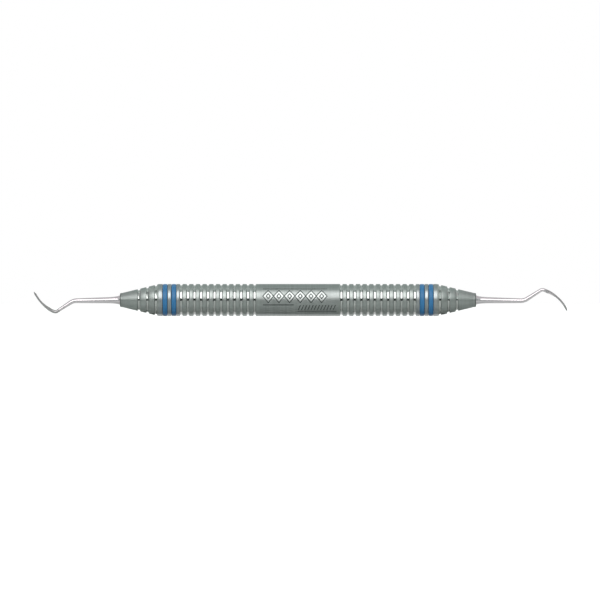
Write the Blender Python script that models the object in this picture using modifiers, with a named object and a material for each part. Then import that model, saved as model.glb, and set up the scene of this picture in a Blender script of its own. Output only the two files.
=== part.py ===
"""Double-ended dental hand scaler: a hollow steel handle, two tapered end cones, two bent working
ends pressed into them, and four silicone colour rings seated in grooves.

Run with: blender --background --python part.py
Lengths are in metres. The handle lies along X on the ground, z = 0, with its middle at x = 0.
"""

import math

import bmesh
import bpy
import numpy as np
from mathutils import Matrix, Vector

MM = 0.001

# Handle barrel
HANDLE_RADIUS = 4.8 * MM
BARREL_WALL = 0.9 * MM
BARREL_HALF_LENGTH = 42.25 * MM

# Grip grooves, as many as fit between the rings and a plain middle band
PLAIN_BAND_HALF_LENGTH = 12.5 * MM
GROOVE_PITCH = 2.0 * MM
GROOVE_FLOOR = 0.56 * MM
GROOVE_FLANK = 0.12 * MM
GROOVE_DEPTH = 0.4 * MM

# Colour rings and the square-sided seats that hold them
OUTER_RING_FROM_BARREL_END = 2.4 * MM
RING_PITCH = 2.65 * MM
INNER_RING_TO_LAST_GROOVE = 2.2 * MM
RING_SEAT_WIDTH = 1.5 * MM
RING_SEAT_DEPTH = 0.5 * MM
RING_CROWN = 0.12 * MM

# The taper starts on the barrel's last land and runs on over the end cone to its nose.
TAPER_ON_BARREL = 0.55 * MM

# End cones
CONE_LENGTH = 11.15 * MM
NOSE_FACE_WIDTH = 0.24 * MM
NOSE_ROUNDING = 0.42 * MM
CONE_GROOVE_COUNT = 2
CONE_GROOVE_PITCH = 2.57 * MM
CONE_GROOVE_DEPTH = 0.42 * MM
SHOULDER_GROOVE_WIDTH = 0.6 * MM
SPIGOT_LENGTH = 5.5 * MM
SPIGOT_LEAD = 0.3 * MM
COLLAR_SOCKET_DEPTH = 1.2 * MM

# Working ends: a tang and a collar inside the cone, then a flared root and a tapering round shank
TANG_RADIUS = 1.0 * MM
TANG_LENGTH = 12.0 * MM
TANG_LEAD = 0.3 * MM
ROOT_RADIUS = 0.96 * MM
ROOT_FLARE = 0.44 * MM
ROOT_FLARE_LENGTH = 1.15 * MM
BEND_1_RADIUS_OF_SHANK = 0.7 * MM
BEND_2_RADIUS_OF_SHANK = 0.51 * MM
# Each leg of the bent wire, from the nose face out: its length to the next corner, and its slope in
# degrees. The third corner is the long curve of the blade itself.
RIGHT_LEGS = ((14.45 * MM, -0.9), (6.45 * MM, 32.5), (6.3 * MM, -24), (4.25 * MM, -67))
RIGHT_BENDS = (3.5 * MM, 1.3 * MM, 10.5 * MM)
LEFT_LEGS = ((14.0 * MM, -0.9), (6.4 * MM, -33), (4.2 * MM, 26), (5.05 * MM, 58))
LEFT_BENDS = (3.5 * MM, 1.3 * MM, 11.7 * MM)

# Sickle blade: a triangle in section, its flat face on the inside of the curve
BLADE_HEIGHT = 0.52 * MM
BLADE_WIDTH = 0.86 * MM
BLADE_POINT = 0.12 * MM
BLADE_GRIND_LENGTH = 3.2 * MM
POINT_LENGTH = 1.3 * MM

# Clearances between separate pieces
FIT_GAP = 0.04 * MM
RING_GAP = 0.05 * MM

# Fineness of the faceted solids
SIDES = 32
SECTION_SIDES = 18
ARC_STEP = math.radians(6)
NOSE_STEPS = 3
FLARE_STEPS = 6
POINT_STEPS = 5

BORE_RADIUS = HANDLE_RADIUS - BARREL_WALL
OUTER_RING_X = BARREL_HALF_LENGTH - OUTER_RING_FROM_BARREL_END
INNER_RING_X = OUTER_RING_X - RING_PITCH
LAST_GROOVE_X = INNER_RING_X - INNER_RING_TO_LAST_GROOVE
TAPER_START_X = BARREL_HALF_LENGTH - TAPER_ON_BARREL
NOSE_X = BARREL_HALF_LENGTH + CONE_LENGTH
# The collar is as wide as the flared root, and the nose has just the face and rounding around it.
COLLAR_RADIUS = ROOT_RADIUS + ROOT_FLARE
SOCKET_RADIUS = COLLAR_RADIUS + FIT_GAP
NOSE_RADIUS = SOCKET_RADIUS + NOSE_FACE_WIDTH + NOSE_ROUNDING
HALF_SIDE = math.pi / SIDES
# Turned pieces are drawn along local Z. This lays them along X, with a flat side underneath.
LAID_DOWN = Matrix.Rotation(math.pi / 2, 4, "Y") @ Matrix.Rotation(HALF_SIDE, 4, "Z")
TURNED_ROUND = Matrix.Rotation(math.pi, 4, "Z")


def clear_scene():
    """Removes every object of the start-up scene."""
    for obj in list(bpy.data.objects):
        bpy.data.objects.remove(obj, do_unlink=True)


def make_material(name, colour, roughness, metallic):
    """A plain Principled material."""
    material = bpy.data.materials.new(name)
    material.use_nodes = True
    shader = material.node_tree.nodes["Principled BSDF"]
    shader.inputs["Base Color"].default_value = (*colour, 1.0)
    shader.inputs["Roughness"].default_value = roughness
    shader.inputs["Metallic"].default_value = metallic
    return material


def turned_mesh(name, outline, material, collection):
    """A solid of revolution with SIDES flat sides.

    The outline is a closed loop of (radius, station), given from the lowest station up along the
    outer side. Radii are those of the flats, so that two pieces turned alike keep their clearance.
    """
    flat_to_corner = 1 / math.cos(HALF_SIDE)
    points = [(radius * flat_to_corner, 0, station) for radius, station in reversed(outline)]
    edges = [(i, (i + 1) % len(points)) for i in range(len(points))]
    drawn = bpy.data.meshes.new(name + "_outline")
    drawn.from_pydata(points, edges, [])
    blank = bpy.data.objects.new(name + "_blank", drawn)
    collection.objects.link(blank)
    screw = blank.modifiers.new("Turn", "SCREW")
    screw.axis = "Z"
    screw.angle = 2 * math.pi
    screw.steps = SIDES
    screw.render_steps = SIDES
    screw.use_merge_vertices = True
    screw.merge_threshold = 0.001 * MM
    graph = bpy.context.evaluated_depsgraph_get()
    turned = bpy.data.meshes.new_from_object(blank.evaluated_get(graph))
    bpy.data.objects.remove(blank, do_unlink=True)
    turned.name = name
    turned.shade_smooth()
    turned.set_sharp_from_angle(angle=math.radians(30))
    turned.materials.append(material)
    return turned


def lofted_mesh(name, sections, material):
    """A closed skin over cross-sections that have the same number of points."""
    shape = bmesh.new()
    rings = [[shape.verts.new(point) for point in points] for points in sections]
    for here, following in zip(rings, rings[1:]):
        for i in range(SECTION_SIDES):
            j = (i + 1) % SECTION_SIDES
            shape.faces.new((here[i], here[j], following[j], following[i]))
    shape.faces.new(rings[0])
    shape.faces.new(rings[-1])
    bmesh.ops.recalc_face_normals(shape, faces=shape.faces)
    mesh = bpy.data.meshes.new(name)
    shape.to_mesh(mesh)
    shape.free()
    mesh.shade_smooth()
    mesh.set_sharp_from_angle(angle=math.radians(35))
    mesh.materials.append(material)
    return mesh


def grip_groove_stations():
    """The middle of each grip groove on the +X side, from the plain band out."""
    lip = GROOVE_FLOOR / 2 + GROOVE_FLANK
    further = math.floor((LAST_GROOVE_X - lip - PLAIN_BAND_HALF_LENGTH) / GROOVE_PITCH)
    return [LAST_GROOVE_X - k * GROOVE_PITCH for k in range(further, -1, -1)]


def taper_radius(x):
    """Radius of the tapered ends at x, before their grooves are cut."""
    return float(np.interp(x, (TAPER_START_X, NOSE_X - NOSE_ROUNDING), (HANDLE_RADIUS, NOSE_RADIUS)))


def groove(middle, floor_radius, floor_width, flank):
    """Outline points of one groove, from its lower lip to its upper one."""
    lips = (middle - floor_width / 2 - flank, middle + floor_width / 2 + flank)
    return [
        (taper_radius(lips[0]), lips[0]),
        (floor_radius, middle - floor_width / 2),
        (floor_radius, middle + floor_width / 2),
        (taper_radius(lips[1]), lips[1]),
    ]


def barrel_outline():
    """One half from the middle out, and its mirror image. The closing edge is the bore."""
    half = []
    for x in grip_groove_stations():
        half += groove(x, HANDLE_RADIUS - GROOVE_DEPTH, GROOVE_FLOOR, GROOVE_FLANK)
    for x in (INNER_RING_X, OUTER_RING_X):
        half += groove(x, HANDLE_RADIUS - RING_SEAT_DEPTH, RING_SEAT_WIDTH, 0)
    half += [
        (HANDLE_RADIUS, TAPER_START_X),
        (taper_radius(BARREL_HALF_LENGTH), BARREL_HALF_LENGTH),
        (BORE_RADIUS, BARREL_HALF_LENGTH),
    ]
    return [(radius, -x) for radius, x in reversed(half)] + half


def cone_outline():
    """From the spigot's inner end out to the nose, then back through the stepped bore."""
    shoulder = BARREL_HALF_LENGTH + FIT_GAP
    spigot_end = shoulder - SPIGOT_LENGTH
    spigot_radius = BORE_RADIUS - FIT_GAP
    tang_bore = TANG_RADIUS + FIT_GAP
    outline = [
        (tang_bore, spigot_end),
        (spigot_radius - SPIGOT_LEAD, spigot_end),
        (spigot_radius, spigot_end + SPIGOT_LEAD),
        (spigot_radius, shoulder),
    ]
    # The barrel's end face is the inner wall of the first groove.
    middle = BARREL_HALF_LENGTH + SHOULDER_GROOVE_WIDTH / 2
    floor_radius = taper_radius(middle) - CONE_GROOVE_DEPTH
    outline.append((floor_radius, shoulder))
    outline += groove(middle, floor_radius, SHOULDER_GROOVE_WIDTH, GROOVE_FLANK)[2:]
    for _ in range(CONE_GROOVE_COUNT):
        middle += CONE_GROOVE_PITCH
        outline += groove(middle, taper_radius(middle) - CONE_GROOVE_DEPTH, GROOVE_FLOOR, GROOVE_FLANK)
    for k in range(NOSE_STEPS + 1):
        turn = math.pi / 2 * k / NOSE_STEPS
        radius = NOSE_RADIUS - NOSE_ROUNDING * (1 - math.cos(turn))
        outline.append((radius, NOSE_X - NOSE_ROUNDING * (1 - math.sin(turn))))
    socket_floor = NOSE_X - COLLAR_SOCKET_DEPTH
    return outline + [(SOCKET_RADIUS, NOSE_X), (SOCKET_RADIUS, socket_floor), (tang_bore, socket_floor)]


def ring_outline():
    """A crowned band, as high as the handle at its middle."""
    half_width = RING_SEAT_WIDTH / 2 - RING_GAP
    inner = HANDLE_RADIUS - RING_SEAT_DEPTH + RING_GAP
    return [
        (inner, -half_width),
        (HANDLE_RADIUS - RING_CROWN, -half_width),
        (HANDLE_RADIUS, -half_width / 2),
        (HANDLE_RADIUS, half_width / 2),
        (HANDLE_RADIUS - RING_CROWN, half_width),
        (inner, half_width),
    ]


def direction(heading):
    """Unit vector at this slope, in the plane of the bends."""
    return Vector((math.cos(heading), math.sin(heading)))


def bent_wire(legs, bend_radii):
    """Stations (place, heading) along each bend of the wire, and the place where the wire ends."""
    headings = [math.radians(slope) for _, slope in legs]
    corners = [Vector((NOSE_X, 0))]
    for (length, _), heading in zip(legs, headings):
        corners.append(corners[-1] + length * direction(heading))
    bends = []
    for corner, before, after, radius in zip(corners[1:], headings, headings[1:], bend_radii):
        turn = after - before
        towards_centre = math.copysign(math.pi / 2, turn)
        start = corner - radius * math.tan(abs(turn) / 2) * direction(before)
        centre = start + radius * direction(before + towards_centre)
        steps = round(abs(turn) / ARC_STEP)
        arc = [before + turn * k / steps for k in range(steps + 1)]
        bends.append([(centre - radius * direction(angle + towards_centre), angle) for angle in arc])
    return bends, corners[-1]


def section(place, heading, height, width, ground, face_side):
    """One cross-section: round where ground is 0, and a triangle where it is 1.

    The triangle's flat face looks to the left of the heading for a face_side of 1, and to the right
    of it for -1.
    """
    across = Vector((0, 1, 0))
    up = face_side * Vector((-math.sin(heading), 0, math.cos(heading)))
    middle = Vector((place.x, 0, place.y))
    corners = [Vector((width / 2, height / 2)), Vector((-width / 2, height / 2)), Vector((0, -height / 2))]
    per_side = SECTION_SIDES // 3
    points = []
    for i in range(SECTION_SIDES):
        side, step = divmod(i, per_side)
        flat = corners[side].lerp(corners[(side + 1) % 3], step / per_side)
        angle = math.radians(30) + 2 * math.pi * i / SECTION_SIDES
        arched = Vector((width / 2 * math.cos(angle), height / 2 * math.sin(angle)))
        y, z = arched.lerp(flat, ground)
        points.append(middle + across * y + up * z)
    return points


def tang_stations():
    """The straight tang and its collar, inside the cone: (place, heading, height, width, ground)."""
    tang_end = NOSE_X - TANG_LENGTH
    collar_start = NOSE_X - COLLAR_SOCKET_DEPTH + FIT_GAP
    steps = (
        (tang_end, TANG_RADIUS - TANG_LEAD),
        (tang_end + TANG_LEAD, TANG_RADIUS),
        (collar_start, TANG_RADIUS),
        (collar_start + FIT_GAP, COLLAR_RADIUS),
    )
    return [(Vector((x, 0)), 0, 2 * radius, 2 * radius, 0) for x, radius in steps]


def shank_stations(first_bend, second_bend, root_heading):
    """The round shank from the nose face, round the first bend, to the end of the second."""
    root = Vector((NOSE_X, 0))
    straight = (first_bend[0][0] - root).length
    leg = (second_bend[0][0] - first_bend[0][0]).length
    stations = []
    for k in range(FLARE_STEPS + 1):
        out = 3 * ROOT_FLARE_LENGTH * (k / FLARE_STEPS) ** 1.5
        taper = ROOT_RADIUS + (BEND_1_RADIUS_OF_SHANK - ROOT_RADIUS) * out / straight
        width = 2 * (taper + ROOT_FLARE * math.exp(-out / ROOT_FLARE_LENGTH))
        stations.append((root + out * direction(root_heading), root_heading, width, width, 0))
    for place, heading in first_bend + second_bend:
        share = min(1.0, (place - first_bend[0][0]).length / leg)
        width = 2 * (BEND_1_RADIUS_OF_SHANK + (BEND_2_RADIUS_OF_SHANK - BEND_1_RADIUS_OF_SHANK) * share)
        stations.append((place, heading, width, width, 0))
    return stations


def blade_stations(start, blade_curve, point):
    """The blade from the second bend, ground from round wire to a triangle and drawn to a point."""
    last, last_heading = blade_curve[-1]
    run_out = [(last.lerp(point, (k + 1) / POINT_STEPS), last_heading) for k in range(POINT_STEPS)]
    stretch = [start] + blade_curve + run_out
    travelled = np.cumsum([(b - a).length for (a, _), (b, _) in zip(stretch, stretch[1:])])
    whole = travelled[-1]
    round_width = 2 * BEND_2_RADIUS_OF_SHANK
    height_marks = (0, BLADE_GRIND_LENGTH, whole - POINT_LENGTH, whole)
    width_marks = (0, BLADE_GRIND_LENGTH, whole)
    heights = np.interp(travelled, height_marks, (round_width, BLADE_HEIGHT, BLADE_HEIGHT, BLADE_POINT))
    widths = np.interp(travelled, width_marks, (round_width, BLADE_WIDTH, BLADE_POINT))
    grounds = np.interp(travelled, width_marks, (0, 1, 1))
    return [
        (place, heading, float(height), float(width), float(ground))
        for (place, heading), height, width, ground in zip(stretch[1:], heights, widths, grounds)
    ]


def working_end_sections(legs, bend_radii):
    """Every cross-section from the inner end of the tang to the point of the blade."""
    (first_bend, second_bend, blade_curve), point = bent_wire(legs, bend_radii)
    stations = tang_stations()
    stations += shank_stations(first_bend, second_bend, math.radians(legs[0][1]))
    stations += blade_stations(second_bend[-1], blade_curve, point)
    # The face is ground on the side that the blade curls towards.
    face_side = math.copysign(1, legs[-1][1] - legs[1][1])
    return [section(*station, face_side) for station in stations]


def main():
    """Builds the scaler."""
    clear_scene()
    collection = bpy.data.collections.new("hand_scaler")
    bpy.context.scene.collection.children.link(collection)
    axis = bpy.data.objects.new("handle_axis", None)
    axis.location = (0, 0, HANDLE_RADIUS)
    collection.objects.link(axis)

    def place(name, mesh, placing):
        piece = bpy.data.objects.new(name, mesh)
        collection.objects.link(piece)
        piece.parent = axis
        piece.matrix_local = placing

    satin_steel = make_material("satin_steel", (0.36, 0.41, 0.39), 0.4, 1.0)
    polished_steel = make_material("polished_steel", (0.68, 0.68, 0.67), 0.2, 1.0)
    blue_silicone = make_material("blue_silicone", (0.05, 0.19, 0.42), 0.45, 0.0)

    barrel = turned_mesh("barrel", barrel_outline(), satin_steel, collection)
    cone = turned_mesh("end_cone", cone_outline(), satin_steel, collection)
    ring = turned_mesh("colour_ring", ring_outline(), blue_silicone, collection)
    place("handle_barrel", barrel, LAID_DOWN)
    sides = (
        ("right", Matrix(), RIGHT_LEGS, RIGHT_BENDS),
        ("left", TURNED_ROUND, LEFT_LEGS, LEFT_BENDS),
    )
    for side, facing, legs, bend_radii in sides:
        place(f"{side}_end_cone", cone, facing @ LAID_DOWN)
        sections = working_end_sections(legs, bend_radii)
        place(f"{side}_working_end", lofted_mesh("working_end", sections, polished_steel), facing)
        for which, x in (("inner", INNER_RING_X), ("outer", OUTER_RING_X)):
            along = Matrix.Translation((x, 0, 0))
            place(f"{side}_{which}_ring", ring, facing @ along @ LAID_DOWN)


main()
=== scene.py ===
"""Looks of the double-ended dental hand scaler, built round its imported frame.

Lengths are metres in the frame's axes. The handle lies along X, its axis AXIS_Z above the floor, and
the side that the maker marks faces -Y. Every piece sits at the origin with its place in its mesh, so
object coordinates in the materials are real millimetres on the object.
"""

import math

import bmesh
import bpy
import numpy as np
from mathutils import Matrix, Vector


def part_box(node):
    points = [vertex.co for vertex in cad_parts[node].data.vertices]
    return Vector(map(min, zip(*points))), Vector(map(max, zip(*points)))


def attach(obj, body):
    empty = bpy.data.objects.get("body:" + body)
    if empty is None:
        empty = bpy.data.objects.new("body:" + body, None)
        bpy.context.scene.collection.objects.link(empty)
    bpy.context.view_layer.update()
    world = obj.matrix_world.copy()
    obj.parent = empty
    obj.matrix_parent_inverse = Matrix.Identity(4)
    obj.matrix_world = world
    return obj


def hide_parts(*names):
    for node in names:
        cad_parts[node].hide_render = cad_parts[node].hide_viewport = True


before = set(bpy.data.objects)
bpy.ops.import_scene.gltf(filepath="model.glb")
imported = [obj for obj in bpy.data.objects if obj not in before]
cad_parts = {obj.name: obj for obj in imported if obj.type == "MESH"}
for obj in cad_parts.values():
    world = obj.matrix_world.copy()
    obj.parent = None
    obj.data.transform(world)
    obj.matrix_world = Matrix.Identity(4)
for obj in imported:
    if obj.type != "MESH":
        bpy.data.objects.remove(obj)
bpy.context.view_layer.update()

MM = 0.001

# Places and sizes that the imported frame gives
BARREL_LOW, BARREL_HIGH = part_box("handle_barrel")
HANDLE_RADIUS = (BARREL_HIGH.z - BARREL_LOW.z) / 2
AXIS_Z = (BARREL_HIGH.z + BARREL_LOW.z) / 2
BARREL_END = BARREL_HIGH.x
NOSE_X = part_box("right_end_cone")[1].x
SPIGOT_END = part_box("right_end_cone")[0].x
TANG_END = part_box("right_working_end")[0].x
INNER_RING_X = sum(corner.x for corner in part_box("right_inner_ring")) / 2
OUTER_RING_X = sum(corner.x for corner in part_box("right_outer_ring")) / 2

# Barrel: tube wall, grip grooves and ring seats
BORE_RADIUS = HANDLE_RADIUS - 0.9 * MM
GROOVE_COUNT = 12
GROOVE_PITCH = 2.0 * MM
LAST_GROOVE_X = INNER_RING_X - 2.2 * MM
GROOVE_FLOOR = 0.56 * MM
GROOVE_FLANK = 0.1 * MM
GROOVE_DEPTH = 0.4 * MM
LAND_ROUNDING = 0.34 * MM
FLOOR_ROUNDING = 0.07 * MM
SEAT_WIDTH = 1.5 * MM
SEAT_DEPTH = 0.5 * MM
SEAT_LIP_ROUNDING = 0.12 * MM
MIDDLE_LAND_ROUNDING = 0.2 * MM
TAPER_ROUNDING = 0.6 * MM
END_ROUNDING = 0.15 * MM

# Finishes: a groove floor or bore this deep is bright, and the lands beyond this x are burnished
BRIGHT_DEPTH = 0.3 * MM
BURNISHED_FROM_X = INNER_RING_X - 1.75 * MM

# Silicone rings: gap to the seat, how square the crown's section is, and how far its edges drop
RING_GAP = 0.05 * MM
RING_SQUARENESS = 3.2
RING_EDGE_DROP = 0.3 * MM

# Ornament on the plain band. Heights are measured round the barrel, up from its front line.
BAND_HALF_LENGTH = 12.3 * MM
SKIN_TOLERANCE = 0.001 * MM
LINE_WIDTH = 0.24 * MM
LINE_DEPTH = 0.05 * MM
LINE_SOFTNESS = 0.12 * MM
LOZENGE_FIRST_X = -8.9 * MM
LOZENGE_PITCH = 3.2 * MM
LOZENGE_COUNT = 6
LOZENGE_HEIGHT = 1.15 * MM
OUTER_LOZENGE = (1.62 * MM, 1.95 * MM)
INNER_LOZENGE = (0.62 * MM, 0.8 * MM)
TICK_FIRST_X = 0.4 * MM
TICK_PITCH = 0.95 * MM
TICK_COUNT = 12
TICK_HEIGHT = -2.4 * MM
TICK_HALF_HEIGHT = 0.85 * MM
TICK_LEAN = 0.4
# Plain rules: middle, half length, height
RULES = (
    (-0.9 * MM, 9.6 * MM, 3.7 * MM),
    (-5.9 * MM, 4.6 * MM, -1.5 * MM),
    (5.7 * MM, 5.8 * MM, -3.75 * MM),
)
MARKED_SPAN = (-10.8 * MM, 11.9 * MM)
MARKED_SPACING = 0.13 * MM

# Tapered ends
TAPER_START_X = BARREL_END - 0.55 * MM
NOSE_ROUNDING = 0.55 * MM
NOSE_RADIUS = 2.1 * MM
CONE_GROOVE_COUNT = 2
CONE_GROOVE_PITCH = 2.57 * MM
CONE_GROOVE_DEPTH = 0.42 * MM
SHOULDER_GROOVE_WIDTH = 0.6 * MM
CONE_SHOULDER_ROUNDING = 0.5 * MM
SPIGOT_LEAD = 0.3 * MM
SOCKET_DEPTH = 1.2 * MM
SOCKET_LIP_ROUNDING = 0.06 * MM
BLASTED_NOSE_LENGTH = 2 * MM
# Painted shade: a dark band round each nose's rounded end, with its width, softness and strength
NOSE_SHADE_WIDTH = 0.38 * MM
NOSE_SHADE_SOFTNESS = 0.28 * MM
NOSE_SHADE_STRENGTH = 0.8
FIT_GAP = 0.04 * MM

# Working ends: the shank's radius at the root and bends, then each leg's length and slope in degrees
# from the nose face out, and the bends' radii
ROOT_RADIUS = 0.96 * MM
ROOT_FLARE = 0.44 * MM
ROOT_FLARE_LENGTH = 1.15 * MM
FLARE_SPAN = 3 * ROOT_FLARE_LENGTH
FIRST_BEND_SHANK = 0.7 * MM
SECOND_BEND_SHANK = 0.51 * MM
TANG_RADIUS = 1.0 * MM
TANG_LEAD = 0.3 * MM
COLLAR_RADIUS = ROOT_RADIUS + ROOT_FLARE
SOCKET_RADIUS = COLLAR_RADIUS + FIT_GAP
RIGHT_LEGS = ((14.45 * MM, -0.9), (6.45 * MM, 32.5), (6.3 * MM, -24), (4.25 * MM, -67))
RIGHT_BENDS = (3.5 * MM, 1.3 * MM, 10.5 * MM)
LEFT_LEGS = ((14.0 * MM, -0.9), (6.4 * MM, -33), (4.2 * MM, 26), (5.05 * MM, 58))
LEFT_BENDS = (3.5 * MM, 1.3 * MM, 11.7 * MM)

# Blades: where the ground finish starts beyond the second bend, and the section's sizes
RIGHT_GROUND_FROM = 0.5 * MM
LEFT_GROUND_FROM = -1.5 * MM
BLADE_ROOT_HEIGHT = 1.0 * MM
BLADE_HEIGHT = 0.56 * MM
BLADE_WIDTH = 0.86 * MM
BLADE_POINT = 0.2 * MM
BLADE_GRIND_LENGTH = 1.5 * MM
BLADE_SLIM_LENGTH = 4.4 * MM
POINT_LENGTH = 0.8 * MM
# Shape of the section's sides: 1 would be an ellipse, 2 would be straight
BLADE_SIDE_POWER = 1.7

# Fineness of the meshes. The marked sector and the steps round the barrel are in degrees.
MARKED_SECTOR = (-48, 48)
MARKED_STEP = 1.5
PLAIN_STEP = 4.4
ROUNDING_STEP = math.radians(19)
TURNED_COLUMNS = 144
RING_STEPS = 14
SECTION_SIDES = 48
WIRE_STEP = math.radians(2.5)
FLARE_STEPS = 16
LEG_STEPS = 8
RUN_IN_STEPS = 12
RUN_OUT_STEPS = 14

# Corners turned by less are left as they are, and edges sharper than these keep their crease
STRAIGHT = math.radians(2)
TURNED_CREASE = math.radians(40)
WIRE_CREASE = math.radians(35)

# View: straight on to the side through a long lens, 180 mm across at the object
VIEW_WIDTH = 180 * MM
VIEW_CENTRE_X = 0.6 * MM
CAMERA_DISTANCE = 2500 * MM


def linear(hex_colour):
    """Linear RGBA of an sRGB hex colour."""
    channels = [int(hex_colour[i : i + 2], 16) / 255 for i in (1, 3, 5)]
    return (*[c / 12.92 if c <= 0.04045 else ((c + 0.055) / 1.055) ** 2.4 for c in channels], 1.0)


def add_node(tree, kind, inputs=None, **settings):
    """Adds one node with its settings. An input takes a value, a socket, or a node's first output."""
    node = tree.nodes.new(kind)
    for name, value in settings.items():
        setattr(node, name, value)
    for socket, value in (inputs or {}).items():
        if isinstance(value, bpy.types.Node):
            value = value.outputs[0]
        if isinstance(value, bpy.types.NodeSocket):
            tree.links.new(value, node.inputs[socket])
        else:
            node.inputs[socket].default_value = value
    return node


def new_material(name):
    """An empty node material: (material, tree, Principled shader, object coordinates)."""
    material = bpy.data.materials.new(name)
    material.use_nodes = True
    tree = material.node_tree
    tree.nodes.clear()
    shader = add_node(tree, "ShaderNodeBsdfPrincipled")
    add_node(tree, "ShaderNodeOutputMaterial", {"Surface": shader})
    return material, tree, shader, add_node(tree, "ShaderNodeTexCoord").outputs["Object"]


# ---------------------------------------------------------------------------------------- camera

camera_data = bpy.data.cameras.new("studio_camera")
camera_data.lens = camera_data.sensor_width * CAMERA_DISTANCE / VIEW_WIDTH
camera_data.clip_start = 0.01
camera_data.clip_end = 20
camera = bpy.data.objects.new("studio_camera", camera_data)
camera.location = (VIEW_CENTRE_X, -CAMERA_DISTANCE, AXIS_Z)
camera.rotation_euler = (math.radians(90), 0, 0)
bpy.context.scene.collection.objects.link(camera)
bpy.context.scene.camera = camera
bpy.context.scene.view_settings.view_transform = "Standard"


# ------------------------------------------------------------------------------------- materials


def bead_blasted_stainless():
    """Turned, then blasted with glass beads: soft, faintly green grey, a fine grain over lathe lines.

    The wear_edge attribute shows where handling has rubbed the grain bright, mirror_fill where the
    laser has glazed it, and the dark one where a laser has marked it and where shade is painted round
    the noses.
    """
    material, tree, shader, place = new_material("bead_blasted_stainless")
    # Real bead dimples are about 0.05 mm across. They are drawn at 0.3 mm so that they show.
    grain = add_node(
        tree, "ShaderNodeTexNoise", {"Vector": place, "Scale": 1 / (0.3 * MM), "Detail": 3.0}
    )
    # Lathe lines run round the handle, 0.1 mm apart on the real one. They are drawn at 0.45 mm, the
    # noise's 9 mm squeezed by 20 along the handle. The other stretched finishes below do the same.
    stretched = add_node(tree, "ShaderNodeMapping", {"Vector": place, "Scale": (20, 1, 1)})
    lathe = add_node(
        tree, "ShaderNodeTexNoise", {"Vector": stretched, "Scale": 1 / (9 * MM), "Detail": 2.0}
    )
    handling = add_node(
        tree, "ShaderNodeTexNoise", {"Vector": place, "Scale": 1 / (5.0 * MM), "Detail": 3.0}
    )
    mottle = add_node(tree, "ShaderNodeMath", {0: grain, 1: lathe}, operation="ADD")
    mottle = add_node(tree, "ShaderNodeMapRange", {"Value": mottle, "From Min": 0.7, "From Max": 1.3})
    blasted = add_node(
        tree,
        "ShaderNodeMix",
        {0: mottle, 6: linear("#999f9d"), 7: linear("#a9aead")},
        data_type="RGBA",
    )
    edge = add_node(tree, "ShaderNodeAttribute", attribute_name="wear_edge").outputs["Fac"]
    rubbed = add_node(tree, "ShaderNodeMath", {0: edge, 1: handling}, operation="MULTIPLY")
    worn = add_node(
        tree,
        "ShaderNodeMix",
        {0: rubbed, 6: blasted.outputs[2], 7: linear("#abb2af")},
        data_type="RGBA",
    )
    fill = add_node(tree, "ShaderNodeAttribute", attribute_name="mirror_fill").outputs["Fac"]
    glazed = add_node(
        tree, "ShaderNodeMix", {0: fill, 6: worn.outputs[2], 7: linear("#cdd1d0")}, data_type="RGBA"
    )
    # The laser's marks, and the shade painted round the noses, turn the colour a dark grey.
    mark = add_node(tree, "ShaderNodeAttribute", attribute_name="laser_mark_and_painted_shade").outputs["Fac"]
    marked = add_node(
        tree, "ShaderNodeMix", {0: mark, 6: glazed.outputs[2], 7: linear("#2e3634")}, data_type="RGBA"
    )
    tree.links.new(marked.outputs[2], shader.inputs["Base Color"])
    smoother = add_node(tree, "ShaderNodeMath", {0: rubbed, 1: -0.03}, operation="MULTIPLY")
    roughness = add_node(
        tree,
        "ShaderNodeMapRange",
        {"Value": handling, "From Min": 0.3, "From Max": 0.7, "To Min": 0.37, "To Max": 0.43},
    )
    roughness = add_node(tree, "ShaderNodeMath", {0: roughness, 1: smoother}, operation="ADD")
    roughness = add_node(
        tree, "ShaderNodeMath", {0: grain, 1: 0.06, 2: roughness}, operation="MULTIPLY_ADD"
    )
    tree.links.new(roughness.outputs[0], shader.inputs["Roughness"])
    shader.inputs["Metallic"].default_value = 1.0
    bump = add_node(
        tree, "ShaderNodeBump", {"Height": mottle, "Strength": 0.35, "Distance": 0.006 * MM}
    )
    tree.links.new(bump.outputs[0], shader.inputs["Normal"])
    return material


def bright_turned_stainless():
    """Left as the lathe tool cut it: near mirror bright, with fine rings round the groove floors."""
    material, tree, shader, place = new_material("bright_turned_stainless")
    # The tool's feed leaves a ring each 0.05 mm. They are drawn at 0.14 mm so that they show.
    stretched = add_node(tree, "ShaderNodeMapping", {"Vector": place, "Scale": (42.9, 1, 1)})
    rings = add_node(
        tree, "ShaderNodeTexNoise", {"Vector": stretched, "Scale": 1 / (6 * MM), "Detail": 2.0}
    )
    haze = add_node(
        tree, "ShaderNodeTexNoise", {"Vector": place, "Scale": 1 / (1.5 * MM), "Detail": 2.0}
    )
    colour = add_node(
        tree, "ShaderNodeMix", {0: rings, 6: linear("#bcc0be"), 7: linear("#d2d4d2")}, data_type="RGBA"
    )
    tree.links.new(colour.outputs[2], shader.inputs["Base Color"])
    roughness = add_node(
        tree,
        "ShaderNodeMapRange",
        {"Value": haze, "From Min": 0.3, "From Max": 0.7, "To Min": 0.08, "To Max": 0.14},
    )
    tree.links.new(roughness.outputs[0], shader.inputs["Roughness"])
    shader.inputs["Metallic"].default_value = 1.0
    bump = add_node(tree, "ShaderNodeBump", {"Height": rings, "Strength": 0.2, "Distance": 0.003 * MM})
    tree.links.new(bump.outputs[0], shader.inputs["Normal"])
    return material


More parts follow.
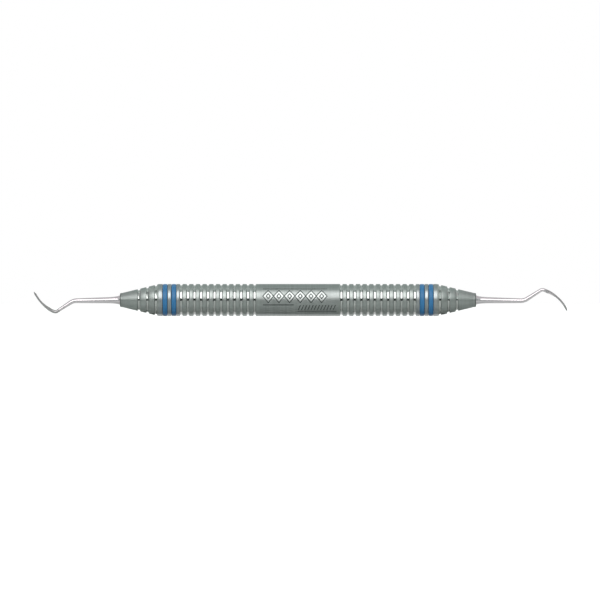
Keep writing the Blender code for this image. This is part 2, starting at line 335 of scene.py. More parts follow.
def burnished_stainless():
    """The narrow lands beside the colour rings, rubbed bright when the rings are trimmed flush."""
    material, tree, shader, place = new_material("burnished_stainless")
    # Trimming scratches run round the land, under 0.05 mm wide and drawn at 0.2 mm.
    stretched = add_node(tree, "ShaderNodeMapping", {"Vector": place, "Scale": (20, 1, 1)})
    scratches = add_node(
        tree, "ShaderNodeTexNoise", {"Vector": stretched, "Scale": 1 / (4 * MM), "Detail": 3.0}
    )
    cloud = add_node(
        tree, "ShaderNodeTexNoise", {"Vector": place, "Scale": 1 / (2.0 * MM), "Detail": 2.0}
    )
    colour = add_node(
        tree,
        "ShaderNodeMix",
        {0: scratches, 6: linear("#9ca2a3"), 7: linear("#b2b7b8")},
        data_type="RGBA",
    )
    tree.links.new(colour.outputs[2], shader.inputs["Base Color"])
    roughness = add_node(
        tree,
        "ShaderNodeMapRange",
        {"Value": cloud, "From Min": 0.3, "From Max": 0.7, "To Min": 0.34, "To Max": 0.42},
    )
    tree.links.new(roughness.outputs[0], shader.inputs["Roughness"])
    shader.inputs["Metallic"].default_value = 1.0
    bump = add_node(
        tree, "ShaderNodeBump", {"Height": scratches, "Strength": 0.3, "Distance": 0.004 * MM}
    )
    tree.links.new(bump.outputs[0], shader.inputs["Normal"])
    return material


def polished_stainless():
    """Shanks: drawn wire, bent and buffed along its length, so hairlines lie along a bright grey."""
    material, tree, shader, place = new_material("polished_stainless")
    # Buffing hairlines, about 0.02 mm wide and drawn at 0.12 mm, run along the shank.
    stretched = add_node(tree, "ShaderNodeMapping", {"Vector": place, "Scale": (1, 58.3, 58.3)})
    hairlines = add_node(
        tree, "ShaderNodeTexNoise", {"Vector": stretched, "Scale": 1 / (7 * MM), "Detail": 2.0}
    )
    cloud = add_node(
        tree, "ShaderNodeTexNoise", {"Vector": place, "Scale": 1 / (1.2 * MM), "Detail": 3.0}
    )
    colour = add_node(
        tree, "ShaderNodeMix", {0: cloud, 6: linear("#ddd7db"), 7: linear("#e9e3e7")}, data_type="RGBA"
    )
    tree.links.new(colour.outputs[2], shader.inputs["Base Color"])
    roughness = add_node(
        tree,
        "ShaderNodeMapRange",
        {"Value": hairlines, "From Min": 0.3, "From Max": 0.7, "To Min": 0.15, "To Max": 0.19},
    )
    tree.links.new(roughness.outputs[0], shader.inputs["Roughness"])
    shader.inputs["Metallic"].default_value = 1.0
    bump = add_node(
        tree, "ShaderNodeBump", {"Height": hairlines, "Strength": 0.06, "Distance": 0.002 * MM}
    )
    tree.links.new(bump.outputs[0], shader.inputs["Normal"])
    return material


def stone_ground_stainless():
    """Blade facets: finished across on a fine stone, so a soft grey with close straight marks."""
    material, tree, shader, place = new_material("stone_ground_stainless")
    # A 600 grit stone leaves marks 0.02 mm apart, across the blade. They are drawn at 0.1 mm.
    stretched = add_node(tree, "ShaderNodeMapping", {"Vector": place, "Scale": (30, 1, 6)})
    marks = add_node(
        tree, "ShaderNodeTexNoise", {"Vector": stretched, "Scale": 1 / (3 * MM), "Detail": 2.0}
    )
    cloud = add_node(
        tree, "ShaderNodeTexNoise", {"Vector": place, "Scale": 1 / (0.8 * MM), "Detail": 2.0}
    )
    colour = add_node(
        tree, "ShaderNodeMix", {0: marks, 6: linear("#aba8aa"), 7: linear("#c1bec0")}, data_type="RGBA"
    )
    tree.links.new(colour.outputs[2], shader.inputs["Base Color"])
    roughness = add_node(
        tree,
        "ShaderNodeMapRange",
        {"Value": cloud, "From Min": 0.3, "From Max": 0.7, "To Min": 0.3, "To Max": 0.4},
    )
    tree.links.new(roughness.outputs[0], shader.inputs["Roughness"])
    shader.inputs["Metallic"].default_value = 1.0
    bump = add_node(tree, "ShaderNodeBump", {"Height": marks, "Strength": 0.35, "Distance": 0.004 * MM})
    tree.links.new(bump.outputs[0], shader.inputs["Normal"])
    return material


def blue_silicone():
    """Moulded silicone rubber: an even strong blue with a soft sheen and a trace of dust."""
    material, tree, shader, place = new_material("blue_silicone")
    cloud = add_node(
        tree, "ShaderNodeTexNoise", {"Vector": place, "Scale": 1 / (1.6 * MM), "Detail": 3.0}
    )
    # Dust and mould grain, 0.03 mm on the real ring and drawn at 0.2 mm.
    specks = add_node(
        tree, "ShaderNodeTexNoise", {"Vector": place, "Scale": 1 / (0.2 * MM), "Detail": 2.0}
    )
    pigment = add_node(
        tree, "ShaderNodeMix", {0: cloud, 6: linear("#2e6ea2"), 7: linear("#3b7fb3")}, data_type="RGBA"
    )
    dust = add_node(
        tree,
        "ShaderNodeMapRange",
        {"Value": specks, "From Min": 0.55, "From Max": 0.8, "To Max": 0.25},
    )
    colour = add_node(
        tree, "ShaderNodeMix", {0: dust, 6: pigment.outputs[2], 7: linear("#7fa9cd")}, data_type="RGBA"
    )
    tree.links.new(colour.outputs[2], shader.inputs["Base Color"])
    roughness = add_node(
        tree,
        "ShaderNodeMapRange",
        {"Value": specks, "From Min": 0.3, "From Max": 0.7, "To Min": 0.32, "To Max": 0.42},
    )
    tree.links.new(roughness.outputs[0], shader.inputs["Roughness"])
    shader.inputs["IOR"].default_value = 1.42
    bump = add_node(tree, "ShaderNodeBump", {"Height": specks, "Strength": 0.2, "Distance": 0.005 * MM})
    tree.links.new(bump.outputs[0], shader.inputs["Normal"])
    return material


SATIN = bead_blasted_stainless()
BRIGHT = bright_turned_stainless()
BURNISHED = burnished_stainless()
POLISHED = polished_stainless()
GROUND = stone_ground_stainless()
SILICONE = blue_silicone()


# ---------------------------------------------------------------------------------- turned shapes


def rounded_outline(corners):
    """Closed outline of (x, radius, on a rounding) from corners of (x, radius, rounding)."""
    outline = []
    count = len(corners)
    for i in range(count):
        here = Vector(corners[i][:2])
        rounding = corners[i][2]
        back = Vector(corners[i - 1][:2]) - here
        on = Vector(corners[(i + 1) % count][:2]) - here
        turn = math.pi - back.angle(on)
        if rounding == 0 or turn < STRAIGHT:
            outline.append((here.x, here.y, 0.0))
            continue
        # Two roundings may share a side, so each takes less than half of it.
        reach = min(rounding * math.tan(turn / 2), 0.48 * back.length, 0.48 * on.length)
        radius = reach / math.tan(turn / 2)
        start = here + reach * back.normalized()
        end = here + reach * on.normalized()
        inward = (back.normalized() + on.normalized()).normalized()
        centre = here + inward * radius / math.cos(turn / 2)
        steps = max(2, math.ceil(turn / ROUNDING_STEP))
        for k in range(steps + 1):
            swing = (start - centre).normalized().slerp((end - centre).normalized(), k / steps)
            spoke = radius * swing
            outline.append((centre.x + spoke.x, centre.y + spoke.y, 1.0))
    return outline


def turned_piece(name, outline, angles, materials, finish_of, facing=1, relief=None):
    """A solid turned about the handle's axis from a closed outline.

    finish_of gives the material's number at (x, radius). facing is -1 for the left end, which is the
    right one turned half round. relief changes the radii and sets the laser marks, the painted shade
    and mirror_fill.
    """
    xs = np.array([point[0] for point in outline])
    radii = np.repeat([[point[1]] for point in outline], len(angles), axis=1)
    wear = np.repeat([[point[2]] for point in outline], len(angles), axis=1)
    marks = np.zeros_like(radii)
    fills = np.zeros_like(radii)
    if relief:
        radii, marks, fills = relief(xs[:, None], radii, angles[None, :])
    across = -radii * np.cos(angles)
    up = radii * np.sin(angles)
    along = np.broadcast_to(xs[:, None], radii.shape)
    points = np.stack([facing * along, facing * across, AXIS_Z + up], axis=2).reshape(-1, 3)
    rows, columns = radii.shape
    i = np.arange(rows)[:, None]
    j = np.arange(columns)[None, :]
    i_next = (i + 1) % rows
    j_next = (j + 1) % columns
    corners = [i * columns + j, i_next * columns + j, i_next * columns + j_next, i * columns + j_next]
    faces = np.stack([np.broadcast_to(c, (rows, columns)) for c in corners], axis=2).reshape(-1, 4)
    mesh = bpy.data.meshes.new(name)
    mesh.from_pydata(points.tolist(), [], faces.tolist())
    for material in materials:
        mesh.materials.append(material)
    finishes = []
    for k in range(rows):
        after = outline[(k + 1) % rows]
        finishes.append(finish_of((outline[k][0] + after[0]) / 2, (outline[k][1] + after[1]) / 2))
    mesh.polygons.foreach_set("material_index", np.repeat(finishes, columns).astype(np.int32))
    for label, values in (("wear_edge", wear), ("laser_mark_and_painted_shade", marks), ("mirror_fill", fills)):
        attribute = mesh.attributes.new(label, "FLOAT", "POINT")
        attribute.data.foreach_set("value", values.astype(np.float32).ravel())
    return finished_piece(name, mesh, TURNED_CREASE)


def finished_piece(name, mesh, sharp_angle):
    """Puts a mesh in the scene with outward faces, smooth shading and flat faces kept flat."""
    shape = bmesh.new()
    shape.from_mesh(mesh)
    bmesh.ops.recalc_face_normals(shape, faces=shape.faces)
    shape.to_mesh(mesh)
    shape.free()
    mesh.shade_smooth()
    mesh.set_sharp_from_angle(angle=sharp_angle)
    piece = bpy.data.objects.new(name, mesh)
    bpy.context.scene.collection.objects.link(piece)
    weighted = piece.modifiers.new("Weighted normals", "WEIGHTED_NORMAL")
    weighted.keep_sharp = True
    return piece


def taper_radius(x):
    """Radius of the tapered end at x, before its grooves."""
    return float(np.interp(x, (TAPER_START_X, NOSE_X - NOSE_ROUNDING), (HANDLE_RADIUS, NOSE_RADIUS)))


def groove_corners(middle, depth, floor_width, flank, lip_rounding):
    """Four corners of one groove, from its inner lip to its outer one. Its floor follows the taper."""
    half = floor_width / 2
    lips = (middle - half - flank, middle + half + flank)
    return [
        (lips[0], taper_radius(lips[0]), lip_rounding[0]),
        (middle - half, taper_radius(middle - half) - depth, FLOOR_ROUNDING),
        (middle + half, taper_radius(middle + half) - depth, FLOOR_ROUNDING),
        (lips[1], taper_radius(lips[1]), lip_rounding[1]),
    ]


def barrel_corners():
    """The barrel's whole outline, the -X end first, back through the bore."""
    half = []
    for k in range(GROOVE_COUNT - 1, -1, -1):
        lips = (LAND_ROUNDING, LAND_ROUNDING)
        middle = LAST_GROOVE_X - k * GROOVE_PITCH
        half += groove_corners(middle, GROOVE_DEPTH, GROOVE_FLOOR, GROOVE_FLANK, lips)
    seats = (
        (INNER_RING_X, (SEAT_LIP_ROUNDING, MIDDLE_LAND_ROUNDING)),
        (OUTER_RING_X, (MIDDLE_LAND_ROUNDING, SEAT_LIP_ROUNDING)),
    )
    for middle, lips in seats:
        half += groove_corners(middle, SEAT_DEPTH, SEAT_WIDTH, 0, lips)
    half += [
        (TAPER_START_X, HANDLE_RADIUS, TAPER_ROUNDING),
        (BARREL_END, taper_radius(BARREL_END), END_ROUNDING),
        (BARREL_END, BORE_RADIUS, 0),
    ]
    return [(-x, radius, rounding) for x, radius, rounding in reversed(half)] + half


def barrel_finish(x, radius):
    """0 blasted, 1 bright turned, 2 burnished."""
    depth = taper_radius(abs(x)) - radius
    if depth > BRIGHT_DEPTH:
        return 1
    return 2 if BURNISHED_FROM_X < abs(x) < TAPER_START_X else 0


def cone_corners():
    """The cone's outline from the spigot's inner end out to the nose, and back through its bore."""
    shoulder = BARREL_END + FIT_GAP
    spigot_radius = BORE_RADIUS - FIT_GAP
    tang_bore = TANG_RADIUS + FIT_GAP
    lips = (CONE_SHOULDER_ROUNDING, CONE_SHOULDER_ROUNDING)
    middle = BARREL_END + SHOULDER_GROOVE_WIDTH / 2
    corners = [
        (SPIGOT_END, tang_bore, 0),
        (SPIGOT_END, spigot_radius - SPIGOT_LEAD, 0),
        (SPIGOT_END + SPIGOT_LEAD, spigot_radius, 0),
        (shoulder, spigot_radius, 0),
        (shoulder, taper_radius(shoulder) - CONE_GROOVE_DEPTH, 0),
    ]
    # The barrel's end face closes the shoulder groove on its inner side, so only the outer half of
    # that groove is cut here.
    shoulder_groove = groove_corners(
        middle, CONE_GROOVE_DEPTH, SHOULDER_GROOVE_WIDTH, GROOVE_FLANK, lips
    )
    corners += shoulder_groove[2:]
    for _ in range(CONE_GROOVE_COUNT):
        middle += CONE_GROOVE_PITCH
        corners += groove_corners(middle, CONE_GROOVE_DEPTH, GROOVE_FLOOR, GROOVE_FLANK, lips)
    # A point just short of the painted shade keeps it from spreading back over the cone.
    unshaded = NOSE_X - NOSE_SHADE_WIDTH - NOSE_SHADE_SOFTNESS
    return corners + [
        (unshaded, taper_radius(unshaded), 0),
        (NOSE_X, NOSE_RADIUS, NOSE_ROUNDING),
        (NOSE_X, SOCKET_RADIUS, SOCKET_LIP_ROUNDING),
        (NOSE_X - SOCKET_DEPTH, SOCKET_RADIUS, 0),
        (NOSE_X - SOCKET_DEPTH, tang_bore, 0),
    ]


def cone_finish(x, radius):
    """0 blasted, 1 bright turned. The nose is blasted down into its socket."""
    deep = taper_radius(x) - radius > BRIGHT_DEPTH
    return 1 if deep and x < NOSE_X - BLASTED_NOSE_LENGTH else 0


def painted_nose_shade(x, radius, angle):
    """Painted shade: the nose darkened in a narrow band at its rounded end, the same all the way
    round, for the dark edge that the rounding shows. Returns what marking returns."""
    shade_amount = NOSE_SHADE_STRENGTH * np.clip((x - NOSE_X + NOSE_SHADE_WIDTH) / NOSE_SHADE_SOFTNESS, 0, 1) + 0 * radius
    return radius, shade_amount, 0 * radius


def ring_outline():
    """A crowned band with soft corners, flush with the steel beside it."""
    half_width = SEAT_WIDTH / 2 - RING_GAP
    inner = HANDLE_RADIUS - SEAT_DEPTH + RING_GAP
    outline = [(-half_width, inner, 0.0)]
    for k in range(RING_STEPS + 1):
        across = -math.cos(math.pi * k / RING_STEPS)
        rise = (1 - abs(across) ** RING_SQUARENESS) ** (1 / RING_SQUARENESS)
        outline.append((half_width * across, HANDLE_RADIUS - RING_EDGE_DROP * (1 - rise), 0.0))
    return outline + [(half_width, inner, 0.0)]


def marking(x, radius, angle):
    """The ornament lasered on the plain band: a chain of lozenges between two rules, and a row of
    slanted ticks over a third. Returns the cut radii, how baked the lines are, and how glazed the
    lozenges' fill is."""
    along = x + 0 * radius
    around = HANDLE_RADIUS * ((angle + math.pi) % (2 * math.pi) - math.pi) + 0 * radius
    on_outside = np.abs(radius - HANDLE_RADIUS) < SKIN_TOLERANCE
    skin = on_outside & (np.abs(along) < BAND_HALF_LENGTH)
    half_line = LINE_WIDTH / 2

    def from_nearest(value, first, pitch, count):
        """Signed distance to the nearest of a row of equal places."""
        return value - first - pitch * np.clip(np.round((value - first) / pitch), 0, count - 1)

    def rule(middle, half_length, height):
        """Distance outside a straight line along the handle."""
        return np.maximum(np.abs(along - middle) - half_length, np.abs(around - height) - half_line)

    def lozenge(half_width, half_height):
        """Distance outside the nearest lozenge of the chain."""
        across = from_nearest(along, LOZENGE_FIRST_X, LOZENGE_PITCH, LOZENGE_COUNT)
        sideways = np.abs(across) / half_width
        upward = np.abs(around - LOZENGE_HEIGHT) / half_height
        diagonal = math.hypot(half_width, half_height)
        return (sideways + upward - 1) * half_width * half_height / diagonal

    outer = lozenge(*OUTER_LOZENGE)
    inner = lozenge(*INNER_LOZENGE)
    leaning = along - TICK_LEAN * (around - TICK_HEIGHT)
    tick = np.maximum(
        np.abs(from_nearest(leaning, TICK_FIRST_X, TICK_PITCH, TICK_COUNT)) - half_line,
        np.abs(around - TICK_HEIGHT) - TICK_HALF_HEIGHT,
    )
    lines = [np.abs(outer) - half_line, np.abs(inner) - half_line, tick]
    lines += [rule(*place) for place in RULES]
    baked = np.where(skin, np.clip(0.5 - np.minimum.reduce(lines) / LINE_SOFTNESS, 0, 1), 0)
    glazed = np.where(skin, np.clip(-outer / LINE_SOFTNESS, 0, 1) * (1 - baked), 0)
    return radius - LINE_DEPTH * baked, baked, glazed


def even_angles(count):
    """Angles all the way round, in radians."""
    return np.arange(count) * 2 * math.pi / count


def marked_angles():
    """Angles round the barrel, closer together over the side that carries the marking."""
    first, last = MARKED_SECTOR
    fine = np.arange(first, last, MARKED_STEP)
    coarse_count = round((360 - last + first) / PLAIN_STEP)
    coarse = np.linspace(last, first + 360, coarse_count, endpoint=False)
    return np.radians(np.concatenate([fine, coarse]))


def put(piece, body, slot, *nodes):
    """Ties a piece to its body and hides the CAD nodes that it stands for. slot is not used."""
    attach(piece, body)
    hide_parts(*nodes)


def barrel_outline():
    """The rounded outline, with points close together where the band is marked."""
    outline = rounded_outline(barrel_corners())
    first, last = MARKED_SPAN
    before = max(
        i for i, point in enumerate(outline) if point[0] < first and point[1] > BORE_RADIUS
    )
    rows = round((last - first) / MARKED_SPACING)
    marked = [(float(x), HANDLE_RADIUS, 0.0) for x in np.linspace(first, last, rows)]
    return outline[: before + 1] + marked + outline[before + 1 :]


barrel = turned_piece(
    "grip_barrel",
    barrel_outline(),
    marked_angles(),
    (SATIN, BRIGHT, BURNISHED),
    barrel_finish,
    relief=marking,
)
put(barrel, "handle", "handle_steel", "handle_barrel")

for side, facing in (("right", 1), ("left", -1)):
    cone = turned_piece(
        f"{side}_tip_cone",
        rounded_outline(cone_corners()),
        even_angles(TURNED_COLUMNS),
        (SATIN, BRIGHT),
        cone_finish,
        facing,
        painted_nose_shade,
    )
    put(cone, "handle", "handle_steel", f"{side}_end_cone")
    for which, x in (("inner", INNER_RING_X), ("outer", OUTER_RING_X)):
        moved = [(x + across, radius, edge) for across, radius, edge in ring_outline()]
        ring = turned_piece(
            f"{side}_{which}_silicone_band",
            moved,
            even_angles(TURNED_COLUMNS),
            (SILICONE,),
            lambda x, radius: 0,
            facing,
        )
        put(ring, f"{side}_{which}_ring", "colour_ring", f"{side}_{which}_ring")


# ----------------------------------------------------------------------------------- working ends


def direction(heading):
    """Unit vector at this slope, in the plane of the bends."""
    return Vector((math.cos(heading), math.sin(heading)))


def bent_wire(legs, bend_radii):
    """Stations (place, heading) along each bend of the wire, and the place where the wire ends."""
    headings = [math.radians(slope) for _, slope in legs]
    corners = [Vector((NOSE_X, 0))]
    for (length, _), heading in zip(legs, headings):
        corners.append(corners[-1] + length * direction(heading))
    bends = []
    for corner, before, after, radius in zip(corners[1:], headings, headings[1:], bend_radii):
        turn = after - before
        to_centre = math.copysign(math.pi / 2, turn)
        start = corner - radius * math.tan(abs(turn) / 2) * direction(before)
        centre = start + radius * direction(before + to_centre)
        steps = round(abs(turn) / WIRE_STEP)
        arc = [before + turn * k / steps for k in range(steps + 1)]
        bends.append([(centre - radius * direction(angle + to_centre), angle) for angle in arc])
    return bends, corners[-1]


def cross_section(place, heading, height, width, ground, face_side):
    """One section: round where ground is 0. Where it is 1, a flat face with two slightly bulging
    sides that meet in a back ridge. The face is on the side that face_side gives: 1 up, -1 down."""
    across = Vector((0, 1, 0))
    up = face_side * Vector((-math.sin(heading), 0, math.cos(heading)))
    middle = Vector((place.x, 0, AXIS_Z + place.y))
    per_side = SECTION_SIDES // 3
    points = []
    for i in range(SECTION_SIDES):
        side, step = divmod(i, per_side)
        share = step / per_side
        if side == 0:
            blade = Vector((width / 2 * (1 - 2 * share), height / 2))
        else:
            swing = math.pi / 2 * (share if side == 1 else 1 - share)
            reach = width / 2 * math.cos(swing) ** BLADE_SIDE_POWER
            drop = height * math.sin(swing) ** BLADE_SIDE_POWER
            blade = Vector((-reach if side == 1 else reach, height / 2 - drop))
        # The round section's first point is at 30 degrees, so its top third becomes the flat face.
        angle = math.radians(30 + 360 * i / SECTION_SIDES)
        round_wire = Vector((width / 2 * math.cos(angle), height / 2 * math.sin(angle)))
        y, z = round_wire.lerp(blade, ground)
        points.append(middle + across * y + up * z)
    return points


def tang_stations():
    """The straight tang and its collar, inside the cone. A station is the place, heading, height,
    width and share of the ground section."""
    collar_start = NOSE_X - SOCKET_DEPTH + FIT_GAP
    steps = (
        (TANG_END, TANG_RADIUS - TANG_LEAD),
        (TANG_END + TANG_LEAD, TANG_RADIUS),
        (collar_start, TANG_RADIUS),
        (collar_start + FIT_GAP, COLLAR_RADIUS),
    )
    return [(Vector((x, 0)), 0, 2 * radius, 2 * radius, 0) for x, radius in steps]


def shank_stations(first_bend, second_bend, root_heading):
    """The round shank from the nose face, round the first bend, to the end of the second."""
    root = Vector((NOSE_X, 0))
    straight = (first_bend[0][0] - root).length
    leg = (second_bend[0][0] - first_bend[0][0]).length
    stations = []
    for k in range(FLARE_STEPS + 1):
        # Stations stand closer together near the nose, where the flare is steep.
        out = FLARE_SPAN * (k / FLARE_STEPS) ** 1.5
        taper = ROOT_RADIUS + (FIRST_BEND_SHANK - ROOT_RADIUS) * out / straight
        width = 2 * (taper + ROOT_FLARE * math.exp(-out / ROOT_FLARE_LENGTH))
        stations.append((root + out * direction(root_heading), root_heading, width, width, 0))
    leg_start, leg_heading = first_bend[-1]
    between = second_bend[0][0] - leg_start
    leg_run = [(leg_start + between * k / LEG_STEPS, leg_heading) for k in range(1, LEG_STEPS)]
    for place, heading in first_bend + leg_run + second_bend:
        share = min(1.0, (place - first_bend[0][0]).length / leg)
        width = 2 * (FIRST_BEND_SHANK + (SECOND_BEND_SHANK - FIRST_BEND_SHANK) * share)
        stations.append((place, heading, width, width, 0))
    return stations


def blade_stations(start, blade_curve, point):
    """The blade from the second bend, ground from round wire to a flat face and drawn to a point."""
    first, heading = blade_curve[0]
    run_in = [(start[0].lerp(first, k / RUN_IN_STEPS), heading) for k in range(1, RUN_IN_STEPS)]
    last, last_heading = blade_curve[-1]
    run_out = [
        (last.lerp(point, k / RUN_OUT_STEPS), last_heading) for k in range(1, RUN_OUT_STEPS + 1)
    ]
    stretch = [start] + run_in + blade_curve + run_out
    travelled = np.cumsum([(b - a).length for (a, _), (b, _) in zip(stretch, stretch[1:])])
    whole = travelled[-1]
    round_width = 2 * SECOND_BEND_SHANK
    height_marks = (0, BLADE_GRIND_LENGTH, BLADE_SLIM_LENGTH, whole - POINT_LENGTH, whole)
    width_marks = (0, BLADE_GRIND_LENGTH, whole)
    height_steps = (round_width, BLADE_ROOT_HEIGHT, BLADE_HEIGHT, BLADE_HEIGHT, BLADE_POINT)
    heights = np.interp(travelled, height_marks, height_steps)
    widths = np.interp(travelled, width_marks, (round_width, BLADE_WIDTH, BLADE_POINT))
    grounds = np.interp(travelled, width_marks, (0, 1, 1))
    return [
        (place, heading, float(height), float(width), float(ground))
        for (place, heading), height, width, ground in zip(stretch[1:], heights, widths, grounds)
    ]


def working_end(name, legs, bend_radii, ground_from, facing):
    """Tang, collar, flared root, bent shank and sickle blade in one forged and ground piece. The
    ground finish starts ground_from beyond the second bend, or before it where that is negative."""
    (first_bend, second_bend, blade_curve), point = bent_wire(legs, bend_radii)
    stations = tang_stations()
    stations += shank_stations(first_bend, second_bend, math.radians(legs[0][1]))
    blade_start = len(stations) - 1
    stations += blade_stations(second_bend[-1], blade_curve, point)
    steps = [(b[0] - a[0]).length for a, b in zip(stations, stations[1:])]
    travelled = np.cumsum(steps) - sum(steps[:blade_start])
    # The flat face is on the inside of the blade's curve.
    face_side = math.copysign(1, legs[-1][1] - legs[1][1])
    shape = bmesh.new()
    rings = []
    for station in stations:
        ring = []
        for corner in cross_section(*station, face_side):
            ring.append(shape.verts.new((facing * corner.x, facing * corner.y, corner.z)))
        rings.append(ring)
    for here, following, beyond_bend in zip(rings, rings[1:], travelled):
        for i in range(SECTION_SIDES):
            j = (i + 1) % SECTION_SIDES
            face = shape.faces.new((here[i], here[j], following[j], following[i]))
            face.material_index = 1 if beyond_bend > ground_from else 0
    shape.faces.new(rings[0])
    shape.faces.new(rings[-1]).material_index = 1
    mesh = bpy.data.meshes.new(name)
    shape.to_mesh(mesh)
    shape.free()
    mesh.materials.append(POLISHED)
    mesh.materials.append(GROUND)
    return finished_piece(name, mesh, WIRE_CREASE)


for side, legs, bend_radii, ground_from, facing in (
    ("right", RIGHT_LEGS, RIGHT_BENDS, RIGHT_GROUND_FROM, 1),
    ("left", LEFT_LEGS, LEFT_BENDS, LEFT_GROUND_FROM, -1),
):
    end = working_end(f"{side}_sickle_end", legs, bend_radii, ground_from, facing)
    put(end, "handle", "working_end_steel", f"{side}_working_end")


# ------------------------------------------------------------------------------------- the studio

# How bright the room's walls, soft boxes and flags are
SURROUND = 0.58
KEY_LIGHT = 3.1
SIDE_LIGHT = 2.2
SIDE_FLAG = 0.26

# Areas of the room, later ones over earlier ones: how bright, then fades of (angle, none of it at,
# all of it at) in degrees. off_front is the azimuth without its sign.
ROOM_AREAS = (
    (SIDE_FLAG, ("off_front", 42, 54), ("off_front", 98, 90), ("elevation", 84, 74)),
    (SIDE_FLAG, ("off_front", 90, 98), ("off_front", 140, 128), ("elevation", 38, 28)),
    (
        SIDE_LIGHT,
        ("off_front", 98, 108),
        ("off_front", 136, 126),
        ("elevation", 36, 44),
        ("elevation", 70, 60),
    ),
    (
        KEY_LIGHT,
        ("azimuth", -34, -26),
        ("azimuth", 22, 14),
        ("elevation", 12, 17),
        ("elevation", 69, 60),
    ),
)

# Floor: its size, and how much the camera sees it lifted towards white
FLOOR_RADIUS = 6.0
FLOOR_LIFT = 0.4

# Cards that only reflections see. Their edges' elevations are in degrees, seen from the handle's axis.
DARK_CARD = "#141515"
BLACK_CARD_DISTANCE = 50 * MM
BLACK_CARD_REACH = 160 * MM
BLACK_CARD_TOP = 9
WHITE_CARD_NEAR = -2 * MM
WHITE_CARD_FAR = 160 * MM
WHITE_CARD_HEIGHT = 0.02 * MM
WHITE_CARD_GLOW = 0.7
GREY_CARD_DISTANCE = 22 * MM
GREY_CARD_EDGES = (44, 76, 150)
GREY_CARD_SPANS = (("right", 53 * MM, 95 * MM), ("left", -54 * MM, -95 * MM))
GREY_CARD_GLOW = 0.56


def studio_world():
    """A grey room: one large soft box in front and above, two smaller ones at the sides and rather
    behind, and dark flags beside and under those. The boxes are a trace warmer than the walls. The
    camera sees plain white instead."""
    world = bpy.data.worlds.new("studio")
    bpy.context.scene.world = world
    world.use_nodes = True
    tree = world.node_tree
    tree.nodes.clear()
    parts = add_node(
        tree, "ShaderNodeSeparateXYZ", {0: add_node(tree, "ShaderNodeTexCoord").outputs["Generated"]}
    )
    elevation = add_node(tree, "ShaderNodeMath", {0: parts.outputs["Z"]}, operation="ARCSINE")
    front = add_node(tree, "ShaderNodeMath", {0: parts.outputs["Y"], 1: -1.0}, operation="MULTIPLY")
    azimuth = add_node(tree, "ShaderNodeMath", {0: parts.outputs["X"], 1: front}, operation="ARCTAN2")
    off_front = add_node(tree, "ShaderNodeMath", {0: azimuth}, operation="ABSOLUTE")
    angles = {"elevation": elevation, "azimuth": azimuth, "off_front": off_front}
    level = SURROUND
    for brightness, *fades in ROOM_AREAS:
        inside = 1.0
        for angle, none_at, all_at in fades:
            inside = add_node(
                tree,
                "ShaderNodeMapRange",
                {
                    "Value": angles[angle],
                    "From Min": math.radians(none_at),
                    "From Max": math.radians(all_at),
                    "To Max": inside,
                },
                interpolation_type="SMOOTHSTEP",
            )
        level = add_node(tree, "ShaderNodeMix", {0: inside, 2: level, 3: brightness})
    warmth = add_node(
        tree, "ShaderNodeMapRange", {"Value": level, "From Min": SURROUND, "From Max": SIDE_LIGHT}
    )
    light = add_node(
        tree, "ShaderNodeMix", {0: warmth, 6: linear("#f2fffb"), 7: linear("#fffdfc")}, data_type="RGBA"
    )
    room = add_node(tree, "ShaderNodeBackground", {"Color": light.outputs[2], "Strength": level})
    white = add_node(tree, "ShaderNodeBackground", {"Color": (1, 1, 1, 1)})
    seen = add_node(tree, "ShaderNodeLightPath").outputs["Is Camera Ray"]
    mixed = add_node(tree, "ShaderNodeMixShader", {0: seen, 1: room, 2: white})
    add_node(tree, "ShaderNodeOutputWorld", {"Surface": mixed})


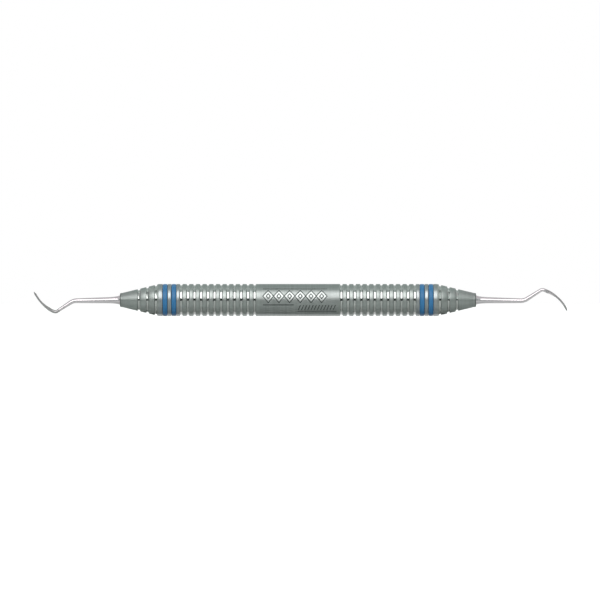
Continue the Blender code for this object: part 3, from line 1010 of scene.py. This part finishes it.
def studio_floor():
    """A large sheet of matte white paper under the object, lit to pure white outside the shadows.
    What the steel picks up of it is darker, as if the paper were lit for the lens only."""
    material, tree, shader, place = new_material("white_paper")
    fibres = add_node(
        tree, "ShaderNodeTexNoise", {"Vector": place, "Scale": 1 / (4.0 * MM), "Detail": 3.0}
    )
    colour = add_node(
        tree, "ShaderNodeMix", {0: fibres, 6: linear("#eeeeed"), 7: linear("#f2f2f1")}, data_type="RGBA"
    )
    seen = add_node(tree, "ShaderNodeLightPath").outputs["Is Camera Ray"]
    shown = add_node(
        tree, "ShaderNodeMix", {0: seen, 6: linear("#e1e2e1"), 7: colour.outputs[2]}, data_type="RGBA"
    )
    tree.links.new(shown.outputs[2], shader.inputs["Base Color"])
    lift = add_node(tree, "ShaderNodeMath", {0: seen, 1: FLOOR_LIFT}, operation="MULTIPLY")
    tree.links.new(lift.outputs[0], shader.inputs["Emission Strength"])
    shader.inputs["Emission Color"].default_value = (1, 1, 1, 1)
    shader.inputs["Roughness"].default_value = 1.0
    shader.inputs["Specular IOR Level"].default_value = 0.0
    shape = bmesh.new()
    bmesh.ops.create_circle(shape, cap_ends=True, segments=96, radius=FLOOR_RADIUS)
    mesh = bpy.data.meshes.new("paper_floor")
    shape.to_mesh(mesh)
    shape.free()
    mesh.materials.append(material)
    floor = bpy.data.objects.new("paper_floor", mesh)
    bpy.context.scene.collection.objects.link(floor)


def reflector(name, corners, colour, glow):
    """A flat card that only the steel's reflections see."""
    material, _, shader, _ = new_material(name)
    shader.inputs["Base Color"].default_value = linear(colour)
    shader.inputs["Roughness"].default_value = 0.9
    shader.inputs["Emission Color"].default_value = (1, 1, 1, 1)
    shader.inputs["Emission Strength"].default_value = glow
    mesh = bpy.data.meshes.new(name)
    mesh.from_pydata(corners, [], [(0, 1, 2, 3)])
    mesh.materials.append(material)
    card = bpy.data.objects.new(name, mesh)
    card.visible_camera = False
    card.visible_diffuse = False
    card.visible_shadow = False
    bpy.context.scene.collection.objects.link(card)


def reflectors():
    """A black card standing in front draws the dark line along the middle of each bright groove. A
    white one lying behind gives the handle its bright lower rim. Grey ones over each shank hide the
    upper part of the front soft box from it, and so keep the bright line along the shank thin."""
    top = AXIS_Z + BLACK_CARD_DISTANCE * math.tan(math.radians(BLACK_CARD_TOP))
    low = -BLACK_CARD_REACH
    corners = ((low, 0), (BLACK_CARD_REACH, 0), (BLACK_CARD_REACH, top), (low, top))
    reflector("black_card", [(x, -BLACK_CARD_DISTANCE, z) for x, z in corners], DARK_CARD, 0.0)

    near, far = WHITE_CARD_NEAR, WHITE_CARD_FAR
    corners = ((-BARREL_END, near), (BARREL_END, near), (BARREL_END, far), (-BARREL_END, far))
    lying = [(x, y, WHITE_CARD_HEIGHT) for x, y in corners]
    reflector("white_card", lying, "#808080", WHITE_CARD_GLOW)

    edges = []
    for elevation in map(math.radians, GREY_CARD_EDGES):
        across = -GREY_CARD_DISTANCE * math.cos(elevation)
        edges.append((across, AXIS_Z + GREY_CARD_DISTANCE * math.sin(elevation)))
    for place, low, high in (("front", edges[0], edges[1]), ("back", edges[1], edges[2])):
        for side, inner, outer in GREY_CARD_SPANS:
            corners = [(inner, *low), (outer, *low), (outer, *high), (inner, *high)]
            reflector(f"{side}_{place}_grey_card", corners, DARK_CARD, GREY_CARD_GLOW)


studio_world()
studio_floor()
reflectors()
